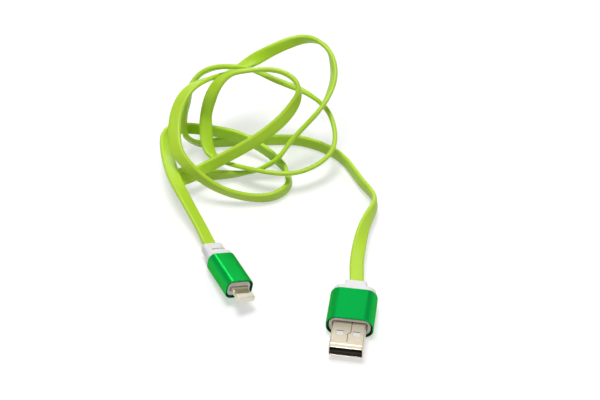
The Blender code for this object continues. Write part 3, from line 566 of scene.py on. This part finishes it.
def cable_skin(centres, along, across):
    """Flat section with round sides, drawn from ring to ring with the cable's turns and twists."""
    bm = bmesh.new()
    spot = bm.verts.layers.float_vector.new("cable_place")
    round_side = CABLE_THICKNESS / 2 * MM
    flat = CABLE_WIDTH / 2 * MM - round_side
    half_step = Matrix.Rotation(math.pi / CABLE_SEGMENTS, 4, "Z")
    bmesh.ops.create_circle(bm, segments=CABLE_SEGMENTS, radius=round_side, matrix=half_step)
    for vert in bm.verts:
        vert.co.x += math.copysign(flat, vert.co.x)
    # Splits of the two wide sides let the skin twist without folding.
    wide = [edge for edge in bm.edges if edge.calc_length() > round_side]
    bmesh.ops.subdivide_edges(bm, edges=wide, cuts=3)
    for vert in bm.verts:
        vert[spot] = (vert.co.x, 0.0, vert.co.y)
    up = np.cross(along, across)
    corners = bm.verts[:]
    edges = bm.edges[:]
    run = 0.0
    for number in range(len(centres)):
        if number:
            run += np.linalg.norm(centres[number] - centres[number - 1])
            corners, edges = drawn_on(bm, edges)
        for vert in corners:
            sideways, _, thick = vert[spot]
            vert.co = centres[number] + across[number] * sideways + up[number] * thick
            vert[spot] = (sideways, run, thick)
    return capped(bm)


centres, along, across = cable_rings()
cable = piece(
    "lime_cable",
    cable_skin(centres, along, across),
    LIME_TPE,
    "lime_jacket",
    "cable_jacket",
    sharp=80,
    flats=False,
)

# Charger plug

charger_sleeve = drawn(
    [
        (CHARGER_FRONT, 16.5, 9.3, 3.85),
        (CHARGER_FRONT + 0.3, 17.0, 9.8, 4.1),
        (CHARGER_REAR - 0.3, 17.0, 9.8, 4.1),
        (CHARGER_REAR - 0.09, 16.84, 9.64, 4.02),
        (CHARGER_REAR, 16.5, 9.3, 3.85),
        (CHARGER_REAR, 15.7, 8.5, 3.45),
        (CHARGER_REAR - 0.15, 15.4, 8.2, 3.3),
        (CHARGER_FRONT + 0.5, 15.4, 8.2, 3.3),
        (CHARGER_FRONT + 0.05, 15.9, 8.7, 3.55),
        (CHARGER_FRONT, 16.5, 9.3, 3.85),
    ],
    closed=True,
)
# The sleeve's front rim takes painted shade.
paint_rim_shade(charger_sleeve, CHARGER_FRONT)
piece(
    "charger_green_sleeve",
    charger_sleeve,
    GREEN_ALUMINIUM,
    "green_sleeve",
    "charger_sleeve",
    turn=CHARGER_TURN,
    shade_look=SHADED_RIM_ALUMINIUM,
)

charger_collar = drawn(
    [
        (COLLAR_FRONT, *CABLE_BORE),
        (COLLAR_FRONT, 14.9, 7.9, 3.15),
        (COLLAR_FRONT + 0.25, 15.4, 8.4, 3.4),
        (COLLAR_FRONT + 1.7, 15.4, 8.4, 3.4),
        (COLLAR_FRONT + 1.92, 15.2, 8.2, 3.3),
        (COLLAR_FRONT + 2.0, 14.8, 7.8, 3.1),
        (COLLAR_FRONT + 2.0, 8.7, 5.5, 1.05),
        (COLLAR_FRONT + 2.1, 8.25, 5.12, 0.85),
        (COLLAR_FRONT + 2.35, 8.1, 5.0, 0.8),
        (COLLAR_REAR - 0.4, 8.1, 5.0, 0.8),
        (COLLAR_REAR - 0.12, 7.94, 4.84, 0.75),
        (COLLAR_REAR, 7.5, 4.4, 0.6),
        (COLLAR_REAR, *CABLE_BORE),
        (COLLAR_FRONT, *CABLE_BORE),
    ],
    closed=True,
)
piece(
    "charger_white_collar",
    charger_collar,
    WHITE_PLASTIC,
    "white_plastic",
    "charger_collar",
    turn=CHARGER_TURN,
)

MOUTH = CHARGER_FRONT - 11.3
SHELL_BACK = CHARGER_FRONT + 5.5
charger_shell = drawn(
    [
        (MOUTH, 11.82, 4.32, 0.56),
        (MOUTH + 0.06, 11.94, 4.44, 0.62),
        (MOUTH + 0.16, 12.0, 4.5, 0.65),
        (MOUTH + 1.5, 12.0, 4.5, 0.65),
        (MOUTH + 1.66, 12.1, 4.6, 0.7),
        (MOUTH + 1.82, 12.1, 4.6, 0.7),
        (MOUTH + 1.98, 12.0, 4.5, 0.65),
        (SHELL_BACK, 12.0, 4.5, 0.65),
        (SHELL_BACK, 11.4, 3.9, 0.35),
        (MOUTH + 0.12, 11.4, 3.9, 0.35),
        (MOUTH, 11.5, 4.0, 0.42),
        (MOUTH, 11.82, 4.32, 0.56),
    ],
    closed=True,
)
WINDOW = (MOUTH + 5.8, MOUTH + 7.75)  # along the plug
WINDOW_SIDES = (1.65, 4.15)  # across it, from the middle
UPPER_WALL, LOWER_WALL = (1.5, 3.0), (-3.0, -1.5)  # heights that hold both skins of a wall
cut_lines(charger_shell, Y, WINDOW)
cut_lines(charger_shell, X, [side * place for side in (-1, 1) for place in WINDOW_SIDES])
# The windows' walls take the second finish, which paints shade on them.
for side in (-1, 1):
    sides = sorted(side * place for place in WINDOW_SIDES)
    for wall in (UPPER_WALL, LOWER_WALL):
        for face in pierce(charger_shell, faces_within(charger_shell, sides, WINDOW, wall)):
            face.material_index = CUT_SHADE_SLOT
# The strip's two edges meet on top in a line that steps aside between the windows.
SEAM_START = MOUTH + 2.8
SEAM_HALF = 0.15  # of its width
SHELL_TOP = 4.5 / 2
SEAM_FLOOR = SHELL_TOP - 0.25
UPPER_SKIN = (2.1, 2.4)
SEAM_STEP = 0.5
SEAM_SHIFTS = (0.0, -0.25, 0.5, 0.9, 0.9)  # sideways, at each step behind the windows' front
SEAM_REACH = 1.3  # sideways, past every shift
SLACK = 0.01  # in comparing places
steps = [WINDOW[0] + SEAM_STEP * number for number in range(len(SEAM_SHIFTS))]
cut_lines(charger_shell, Y, [SEAM_START] + steps)
cut_lines(charger_shell, X, [-SEAM_HALF, SEAM_HALF])
seam = faces_within(
    charger_shell, (-SEAM_HALF, SEAM_HALF), (SEAM_START, SHELL_BACK), UPPER_SKIN
)
for vert in {vert for face in seam for vert in face.verts}:
    place = vert.co.y / MM
    passed = [shift for step, shift in zip(steps, SEAM_SHIFTS) if place > step - SLACK]
    if passed:
        vert.co.x += passed[-1] * MM
sink(charger_shell, seam, SEAM_FLOOR)
# The seam's floor and walls take the second finish, which paints shade on them.
shaded_seam = faces_within(
    charger_shell,
    (-SEAM_REACH, SEAM_REACH),
    (SEAM_START - SLACK, SHELL_BACK - SLACK),
    (SEAM_FLOOR - SLACK, SHELL_TOP - SLACK),
)
for face in shaded_seam:
    face.material_index = CUT_SHADE_SLOT
bmesh.ops.recalc_face_normals(charger_shell, faces=charger_shell.faces)
piece(
    "charger_steel_shell",
    charger_shell,
    PLATED_STEEL,
    "shell_steel",
    "charger_shell",
    turn=CHARGER_TURN,
    sharp=12,
    shade_look=SHEARED_STEEL_WITH_SHADE,
)

# Phone plug

phone_sleeve = drawn(
    [
        (PHONE_FRONT, 10.3, 7.15, 2.6),
        (PHONE_FRONT + 0.2, 10.7, 7.55, 2.8),
        (PHONE_REAR - 0.3, 10.7, 7.55, 2.8),
        (PHONE_REAR - 0.09, 10.54, 7.39, 2.72),
        (PHONE_REAR, 10.2, 7.05, 2.55),
        (PHONE_REAR, 9.6, 6.45, 2.25),
        (PHONE_REAR - 0.15, 9.3, 6.15, 2.1),
        (PHONE_FRONT + 0.35, 9.3, 6.15, 2.1),
        (PHONE_FRONT + 0.05, 9.6, 6.45, 2.25),
        (PHONE_FRONT, 10.3, 7.15, 2.6),
    ],
    closed=True,
)
# The sleeve's front rim takes painted shade.
paint_rim_shade(phone_sleeve, PHONE_FRONT)
piece(
    "phone_green_sleeve",
    phone_sleeve,
    GREEN_ALUMINIUM,
    "green_sleeve",
    "phone_sleeve",
    turn=PHONE_TURN,
    shade_look=SHADED_RIM_ALUMINIUM,
)

phone_relief = drawn(
    [
        (RELIEF_FRONT, *CABLE_BORE),
        (RELIEF_FRONT, 9.4, 6.3, 2.18),
        (RELIEF_FRONT + 0.25, 9.9, 6.8, 2.42),
        (RELIEF_FRONT + 1.75, 9.9, 6.8, 2.42),
        (RELIEF_FRONT + 1.93, 9.7, 6.6, 2.32),
        (RELIEF_FRONT + 2.0, 9.3, 6.2, 2.1),
        (RELIEF_FRONT + 2.0, 8.4, 4.55, 1.35),
        (RELIEF_FRONT + 2.12, 8.0, 4.2, 1.25),
        (RELIEF_FRONT + 2.35, 7.9, 4.1, 1.2),
        (RELIEF_REAR - 0.4, 7.9, 4.1, 1.2),
        (RELIEF_REAR - 0.12, 7.74, 3.94, 1.12),
        (RELIEF_REAR, 7.4, 3.6, 0.95),
        (RELIEF_REAR, *CABLE_BORE),
        (RELIEF_FRONT, *CABLE_BORE),
    ],
    closed=True,
)
# One groove above and one below, each open at one side.
GROOVE = (RELIEF_REAR - 4.35, RELIEF_REAR - 3.45)
GROOVE_FLOOR = 4.1 / 2 - 0.7
GROOVE_START = 7.9 / 2 - 5.7
PAST_SIDE, PAST_TOP = 6.0, 4.0  # beyond the block
cut_lines(phone_relief, Y, GROOVE)
for side in (-1, 1):
    cut_lines(phone_relief, X, [side * GROOVE_START])
    cut_lines(phone_relief, Z, [side * GROOVE_FLOOR])
for side in (-1, 1):
    reach = sorted((side * GROOVE_START, side * PAST_SIDE))
    depth = sorted((side * GROOVE_FLOOR, side * PAST_TOP))
    groove = faces_within(phone_relief, reach, GROOVE, depth)
    sink(phone_relief, groove, side * GROOVE_FLOOR)
bmesh.ops.remove_doubles(phone_relief, verts=phone_relief.verts, dist=10 * WELD)
bmesh.ops.dissolve_degenerate(phone_relief, edges=phone_relief.edges, dist=10 * WELD)
bmesh.ops.recalc_face_normals(phone_relief, faces=phone_relief.faces)
piece(
    "phone_white_relief",
    phone_relief,
    WHITE_PLASTIC,
    "white_plastic",
    "phone_relief",
    turn=PHONE_TURN,
)

NOSE = PHONE_FRONT - 6.4
phone_tip = capped(
    drawn(
        [
            (NOSE, 6.2, 1.5, 0.45),
            (NOSE + 0.1, 6.66, 1.96, 0.62),
            (NOSE + 0.32, 6.9, 2.2, 0.7),
            (NOSE + 2.2, 6.9, 2.2, 0.7),
            (NOSE + 2.48, 6.78, 2.05, 0.68),
            (NOSE + 2.6, 6.7, 1.5, 0.6),
            (PHONE_FRONT + 4.5, 6.7, 1.5, 0.6),
        ]
    )
)
TIP_WINDOW = (NOSE + 3.0, NOSE + 5.7)
TIP_WINDOW_SIDE = 2.6
TIP_WALL = (-1.0, 1.0)  # heights that hold both skins
sides = (-TIP_WINDOW_SIDE, TIP_WINDOW_SIDE)
cut_lines(phone_tip, Y, TIP_WINDOW)
cut_lines(phone_tip, X, sides)
pierce(phone_tip, faces_within(phone_tip, sides, TIP_WINDOW, TIP_WALL))
# A round notch in each side, where the socket's springs catch the tip.
NOTCH = NOSE + 4.3
NOTCH_RADIUS = 0.55
NOTCH_HALF = 0.48
NOTCH_INSET = 0.27  # from the tip's side out to the middle of the notch's circle
TIP_SIDE = 2.7  # where the rounded sides begin
arc = [math.sin(number * math.pi / 12) for number in range(-6, 7)]
cut_lines(phone_tip, Y, [NOTCH + NOTCH_HALF * part for part in arc])
for vert in phone_tip.verts:
    reach = vert.co.y / MM - NOTCH
    if abs(vert.co.x) > TIP_SIDE * MM and abs(reach) < NOTCH_HALF:
        depth = math.sqrt(NOTCH_RADIUS**2 - reach**2) - NOTCH_INSET
        vert.co.x -= math.copysign(depth, vert.co.x) * MM
bmesh.ops.recalc_face_normals(phone_tip, faces=phone_tip.faces)
piece(
    "phone_metal_tip",
    phone_tip,
    TIP_METAL,
    "tip_metal",
    "phone_tip_frame",
    turn=PHONE_TURN,
)

# Finishes of the nodes that stay as CAD made them

KEPT = {
    "charger_tongue": DARK_PLASTIC,
    "charger_insulator": INSULATOR_PLASTIC,
    "charger_inner_mould": CARRIER_PLASTIC,
    "charger_crimp": TINNED_STEEL,
    "phone_tip_insulator": TIP_PLASTIC,
    "phone_inner_mould": CARRIER_PLASTIC,
    "phone_board": BOARD_LACQUER,
    "phone_chip": CHIP_EPOXY,
    "phone_shield": TINNED_STEEL,
    "phone_crimp": TINNED_STEEL,
    "core_power": RED_PVC,
    "core_data_minus": WHITE_PVC,
    "core_data_plus": GREEN_PVC,
    "core_ground": BLACK_PVC,
}
for number in range(1, 5):
    KEPT[f"charger_contact_{number}"] = CONTACT_GOLD
for number in range(1, 9):
    KEPT[f"phone_contact_top_{number}"] = FLASH_GOLD
    KEPT[f"phone_contact_base_{number}"] = FLASH_GOLD
for name, look in KEPT.items():
    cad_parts[name].data.materials.clear()
    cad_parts[name].data.materials.append(look)

# Table and light


def shown_rays(tree):
    """One on rays that show the background: from the camera, off a mirror or through glass."""
    ray = add_node(tree, "ShaderNodeLightPath").outputs
    straight = add_node(
        tree,
        "ShaderNodeMath",
        {0: ray["Is Camera Ray"], 1: ray["Is Glossy Ray"]},
        operation="MAXIMUM",
    )
    return add_node(
        tree,
        "ShaderNodeMath",
        {0: straight.outputs["Value"], 1: ray["Is Transmission Ray"]},
        operation="MAXIMUM",
    ).outputs["Value"]


# Sheet of white laminate: matt and even. Its own grey carries the object's shadow, and
# TABLE_LIFT brings it up to white where it is seen.
TABLE_LIFT = 0.5
table = bpy.data.materials.new("pale laminate table")
table.use_nodes = True
tree = table.node_tree
matt = tree.nodes["Principled BSDF"]
matt.inputs["Base Color"].default_value = linear(0xC4C4C4)
matt.inputs["Roughness"].default_value = 0.7
matt.inputs["Specular IOR Level"].default_value = 0.2
lift = add_node(
    tree, "ShaderNodeMath", {0: shown_rays(tree), 1: TABLE_LIFT}, operation="MULTIPLY"
).outputs["Value"]
glow = add_node(tree, "ShaderNodeEmission", {"Color": linear(0xFFFFFF), "Strength": lift})
both = add_node(
    tree, "ShaderNodeAddShader", {0: matt.outputs["BSDF"], 1: glow.outputs["Emission"]}
)
tree.links.new(both.outputs["Shader"], tree.nodes["Material Output"].inputs["Surface"])
bm = bmesh.new()
bmesh.ops.create_grid(bm, x_segments=2, y_segments=2, size=3.0)
mesh = bpy.data.meshes.new("table")
bm.to_mesh(mesh)
bm.free()
mesh.materials.append(table)
floor = bpy.data.objects.new("table", mesh)
scene.collection.objects.link(floor)

# Walls and ceiling of the studio, as greys at heights from 0, level, to 1, straight up: pale
# low down, dim above, and paler again overhead. They light the object less than they show.
STUDIO_GREYS = ((0.34, 0xF2F2F2), (0.5, 0xA4A4A4), (0.68, 0xA4A4A4), (0.9, 0xC4C4C4))
STUDIO_LIGHT = 0.45
world = bpy.data.worlds.new("studio")
world.use_nodes = True
tree = world.node_tree
direction = add_node(tree, "ShaderNodeTexCoord").outputs["Generated"]
height = add_node(tree, "ShaderNodeSeparateXYZ", {0: direction}).outputs["Z"]
ramp = add_node(tree, "ShaderNodeValToRGB", {"Fac": height})
stops = ramp.color_ramp.elements
for place, grey in STUDIO_GREYS:
    stops.new(place).color = linear(grey)
stops.remove(stops[-1])
stops.remove(stops[0])
strength = add_node(
    tree,
    "ShaderNodeMapRange",
    {"Value": shown_rays(tree), "To Min": STUDIO_LIGHT, "To Max": 1.0},
)
tree.links.new(ramp.outputs["Color"], tree.nodes["Background"].inputs["Color"])
tree.links.new(strength.outputs["Result"], tree.nodes["Background"].inputs["Strength"])
scene.world = world

LAMP_AIM = Vector((-0.04, 0.05, 0.0))  # middle of the tangle


def softbox(name, place, size, watts):
    """Square lamp that faces the tangle."""
    lamp = bpy.data.lights.new(name, "AREA")
    lamp.size = size
    lamp.energy = watts
    made = bpy.data.objects.new(name, lamp)
    made.location = place
    made.rotation_euler = (LAMP_AIM - Vector(place)).to_track_quat("-Z", "Y").to_euler()
    scene.collection.objects.link(made)


softbox("overhead", (-0.1, 0.04, 1.14), 0.42, 8.8)
softbox("fill", (0.75, -0.35, 0.8), 0.8, 0.9)
softbox("back", (-0.23, 1.0, 0.44), 0.3, 2.3)
